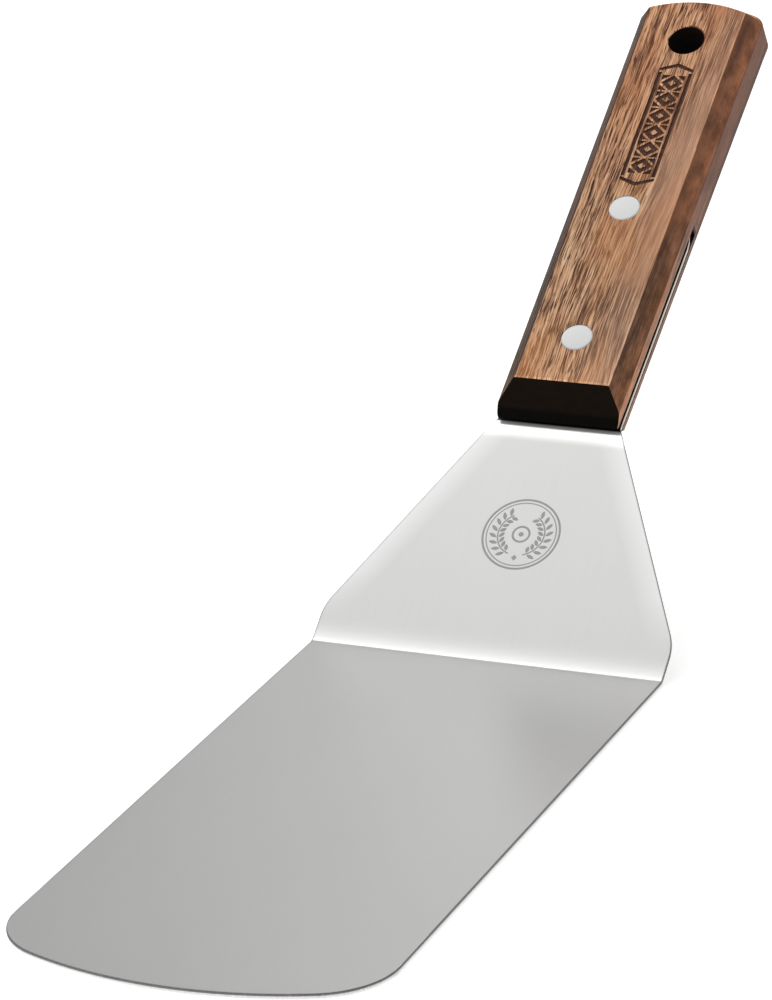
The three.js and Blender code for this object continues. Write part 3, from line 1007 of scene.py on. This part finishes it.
def walnut_material(name, light, mottle=0.0, shade=0.0, rear_share=0.0, rear_colour=(0, 0, 0, 1)):
    """Walnut times light, a painted brightness for each group of faces. Mottle adds soft dark patches, shade
    is painted shade that darkens the upper edge and the left side, and rear_colour tints the rear. Below the
    slot and inside it the wood is darkened as painted shade."""
    n = Nodes(name)
    colour, height, dark = walnut_colours(n)
    colour = n.mix(1.0, colour, (*light, 1), "MULTIPLY")
    space = handle_space(n)
    x, y, z = n.split(space)
    colour = n.mix(n.level(y, 42, 68, 0, rear_share), colour, rear_colour)
    blotch = n.noise(n.stretch(space, (0.3, 0.14, 0.3), (4, 4, 4)), 4, 0.6)
    colour = n.mix(n.level(blotch, 0.42, 0.66, 0, mottle), colour, linear(62, 34, 22))
    colour = n.mix(n.level(z, 4.2, 7.4, 0, shade), colour, linear(48, 29, 20))
    colour = n.mix(n.level(x, -9, -11, 0, shade * 1.5), colour, linear(34, 24, 19))
    # Painted shade on the wood below the slot
    colour = n.mix(n.level(z, -0.7, -1.0, 0, 0.55), colour, linear(60, 38, 28))
    # Painted shadow: near black on the walls of the slot
    colour = n.mix(in_slot(n), colour, linear(20, 12, 8))
    n.surface(Base_Color=colour, Roughness=n.level(dark, 0, 0.8, 0.55, 0.7), Specular_IOR_Level=0.22)
    n.bump(height, 0.00007, 0.6)
    return n.material


def stain_and_shade_material():
    """Near-black stained end grain, with painted shade that makes it darkest low on the nose."""
    n = Nodes("stained_and_shaded_end_grain")
    space = handle_space(n)
    rings = n.noise(n.stretch(space, (0.5, 0.5, 1.6)), 4, 0.6)
    pores = n.noise(n.stretch(space, (5, 5, 5)), 3, 0.6)
    colour = n.ramp(n.math("ADD", n.math("MULTIPLY", rings, 0.6), n.math("MULTIPLY", pores, 0.4)), [
        (0.3, linear(15, 9, 5)), (0.7, linear(26, 17, 10)),
    ])
    height = n.split(space)[2]
    # Painted shade: the lower band of the nose is darker
    low = n.level(height, HANDLE_LIFT + NOSE_STEP_HEIGHT - 0.3, HANDLE_LIFT + NOSE_STEP_HEIGHT + 0.3, 1, 0)
    colour = n.mix(low, colour, linear(6, 4, 2))
    n.surface(Base_Color=colour, Roughness=n.level(pores, 0.3, 0.7, 0.75, 0.9), Specular_IOR_Level=0.07)
    n.bump(pores, 0.00005, 0.5)
    return n.material


def burned_material():
    """Charred wood in the burned-in band."""
    n = Nodes("burned_walnut")
    space = handle_space(n)
    char = n.noise(n.stretch(space, (2.2, 0.6, 2.2)), 4, 0.65)
    colour = n.ramp(char, [(0.3, linear(56, 33, 26)), (0.55, linear(86, 57, 46)), (0.8, linear(124, 90, 73))])
    n.surface(Base_Color=colour, Roughness=n.level(char, 0.3, 0.7, 0.65, 0.85), Specular_IOR_Level=0.2)
    n.bump(char, 0.00008, 0.6)
    return n.material


def floor_material():
    n = Nodes("studio_floor")
    position = n.position()
    soft = n.noise(n.stretch(position, (1.5, 1.5, 1.5)), 2, 0.5)
    colour = n.ramp(soft, [(0.3, (0.93, 0.93, 0.93)), (0.7, (0.95, 0.95, 0.95))])
    n.surface(Base_Color=colour, Roughness=0.9, Specular_IOR_Level=0.1)
    n.surface(Emission_Color=colour, Emission_Strength=0.42)
    return n.material


def add_materials(piece, *materials):
    """Fills the material slots and keeps each face's slot number."""
    indices = [polygon.material_index for polygon in piece.data.polygons]
    piece.data.materials.clear()
    for material in materials:
        piece.data.materials.append(material)
    for polygon, index in zip(piece.data.polygons, indices):
        polygon.material_index = index


# ---------------------------------------------------------------- camera, floor and light

CAMERA_LOCATION = (366.961, -798.034, 393.877)
CAMERA_DEGREES = (69.3301, 2.6119, 22.8658)
CAMERA_LENS = 183.515
CAMERA_SENSOR = 36

# Just below the blade, so that the two faces don't coincide
FLOOR_HEIGHT = -0.00005
FLOOR_HALF_SIZE = 4

KEY_LIGHT_LOCATION = (-1.5, 1.0, 1.5)
KEY_LIGHT_TARGET = (0, 0.1, 0.05)
KEY_LIGHT_SIZE = 1.0
KEY_LIGHT_POWER = 10

# The dome's brightness by the angle in degrees, from the horizon behind the handle up and over to the front
DOME_STOPS = [
    (0, 0.58), (20, 0.57), (24, 0.505), (27, 0.515), (30, 0.39), (38, 0.28), (50, 0.29), (60, 0.38),
    (68, 1.0), (88, 1.0), (95, 0.83), (99, 0.64), (103, 0.36), (114, 0.55), (140, 1.0), (180, 1.0),
]
DOME_STRENGTH = 2.26
# Its change from left to right about a middle direction, steep below the low angle and slight above
DOME_MIDDLE_X = -0.378
DOME_LOW_ANGLE = 50
DOME_LOW_SLOPE = 8.5
DOME_HIGH_SLOPE = 0.5
DOME_SIDE_LIMITS = (-0.6, 0.5)
# A brighter strip in it
STRIP_X = -0.42
STRIP_HALF_WIDTH = 0.42
STRIP_ANGLE = 78
STRIP_HALF_HEIGHT = 11
STRIP_STRENGTH = 3.5
STRIP_X_FADE = 4
STRIP_ANGLE_FADE = 60


def make_camera():
    data = bpy.data.cameras.new("camera")
    data.sensor_width = CAMERA_SENSOR
    data.lens = CAMERA_LENS
    data.clip_end = 20
    camera = bpy.data.objects.new("camera", data)
    camera.location = Vector(CAMERA_LOCATION) * MM
    camera.rotation_euler = [math.radians(angle) for angle in CAMERA_DEGREES]
    bpy.context.scene.collection.objects.link(camera)
    bpy.context.scene.camera = camera


def make_floor():
    mesh = bpy.data.meshes.new("floor")
    size = FLOOR_HALF_SIZE
    corners = [(-size, -size, 0), (size, -size, 0), (size, size, 0), (-size, size, 0)]
    mesh.from_pydata(corners, [], [(0, 1, 2, 3)])
    floor = bpy.data.objects.new("floor", mesh)
    floor.location.z = FLOOR_HEIGHT
    bpy.context.scene.collection.objects.link(floor)
    mesh.materials.append(floor_material())


def make_world():
    """A studio dome: grey behind the tool, broad and bright overhead, with one brighter strip."""
    world = bpy.data.worlds.new("studio")
    world.use_nodes = True
    bpy.context.scene.world = world
    tree = world.node_tree
    nodes = tree.nodes
    background = nodes["Background"]

    def calculate(operation, a, b=0.0, clamp=False):
        node = nodes.new("ShaderNodeMath")
        node.operation = operation
        node.use_clamp = clamp
        for socket, value in zip(node.inputs, (a, b)):
            if isinstance(value, bpy.types.NodeSocket):
                tree.links.new(value, socket)
            else:
                socket.default_value = value
        return node.outputs[0]

    split = nodes.new("ShaderNodeSeparateXYZ")
    tree.links.new(nodes.new("ShaderNodeTexCoord").outputs["Generated"], split.inputs[0])
    x, y, z = split.outputs
    turn = calculate("DIVIDE", calculate("ARCTAN2", z, y), math.pi)
    ramp = nodes.new("ShaderNodeValToRGB")
    tree.links.new(calculate("MAXIMUM", turn, 0.0), ramp.inputs[0])
    elements = ramp.color_ramp.elements
    while len(elements) < len(DOME_STOPS):
        elements.new(0.5)
    for element, (angle, value) in zip(elements, DOME_STOPS):
        element.position = angle / 180
        element.color = (value / 2, value / 2, value / 2, 1)

    low = calculate("LESS_THAN", turn, DOME_LOW_ANGLE / 180)
    slope = calculate("SUBTRACT", calculate("MULTIPLY", low, DOME_LOW_SLOPE), DOME_HIGH_SLOPE)
    side = calculate("MULTIPLY", calculate("SUBTRACT", x, DOME_MIDDLE_X), slope)
    side = calculate("MAXIMUM", side, DOME_SIDE_LIMITS[0])
    side = calculate("MINIMUM", side, DOME_SIDE_LIMITS[1])
    strength = calculate("MULTIPLY", calculate("ADD", side, 1.0), DOME_STRENGTH)

    from_middle = calculate("ABSOLUTE", calculate("SUBTRACT", x, STRIP_X))
    across = calculate("SUBTRACT", STRIP_HALF_WIDTH, from_middle)
    across = calculate("MULTIPLY", across, STRIP_X_FADE, True)
    from_angle = calculate("ABSOLUTE", calculate("SUBTRACT", turn, STRIP_ANGLE / 180))
    along_turn = calculate("SUBTRACT", STRIP_HALF_HEIGHT / 180, from_angle)
    along_turn = calculate("MULTIPLY", along_turn, STRIP_ANGLE_FADE, True)
    strip = calculate("MULTIPLY", calculate("MULTIPLY", across, along_turn), STRIP_STRENGTH)
    strength = calculate("ADD", strength, strip)
    tree.links.new(ramp.outputs[0], background.inputs[0])
    tree.links.new(strength, background.inputs[1])


def make_key_light():
    """A soft light on the wood, left out of the reflections in the steel."""
    data = bpy.data.lights.new("key", "AREA")
    data.shape = "SQUARE"
    data.size = KEY_LIGHT_SIZE
    data.energy = KEY_LIGHT_POWER
    light = bpy.data.objects.new("key", data)
    light.location = KEY_LIGHT_LOCATION
    light.visible_glossy = False
    way = Vector(KEY_LIGHT_TARGET) - Vector(KEY_LIGHT_LOCATION)
    light.rotation_euler = way.to_track_quat("-Z", "Y").to_euler()
    bpy.context.scene.collection.objects.link(light)


# ---------------------------------------------------------------- assembly

make_camera()
make_floor()
make_world()
make_key_light()

bpy.context.scene.view_settings.view_transform = "Standard"
bpy.context.scene.view_settings.look = "None"

sheet = make_sheet()
cut(sheet, join_prisms("mark_cutter", mark_outlines(), SHEET_THICKNESS / 2 - MARK_DEPTH, 1, NECK_FRAME))
for position in RIVET_POSITIONS.values():
    outline = shifted(circle(RIVET_TUBE_RADIUS + RIVET_FIT, 64), 0, position)
    cut(sheet, join_prisms("rivet_cutter", [outline], -3, 3, HANDLE_FRAME))
for polygon in sheet.data.polygons:
    if is_mark(polygon.center):
        polygon.material_index = 2
add_materials(sheet, steel_material(), sheared_edge_material(), etched_material())
finish_shading(sheet)
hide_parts("blade_and_tang")
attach(sheet, "root")

handle = make_handle()
# Copies of the walnut, each with its own painted brightness: the bevel darker, the side and rounded edges
# lighter
add_materials(
    handle,
    walnut_material("walnut_face", (1.15, 1.15, 1.15)),
    walnut_material("walnut_bevel", (0.62, 0.51, 0.42), mottle=0.65, shade=0.5,
                    rear_share=0.6, rear_colour=linear(192, 122, 84)),
    stain_and_shade_material(),
    burned_material(),
    walnut_material("walnut_side", (1.22, 1.14, 1.14), mottle=0.4,
                    rear_share=0.8, rear_colour=linear(96, 56, 36)),
    # Painted highlight on the handle's rounded edges
    walnut_material("walnut_edge_highlight", (1.5, 1.47, 1.45)),
)
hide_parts("handle")
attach(handle, "root")

rivet_steel = rivet_material()
for place, position in RIVET_POSITIONS.items():
    male, female = make_rivets(place, position)
    for piece, half in ((male, "male"), (female, "female")):
        piece.data.materials.append(rivet_steel)
        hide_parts(f"{place}_rivet_{half}")
        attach(piece, "root")
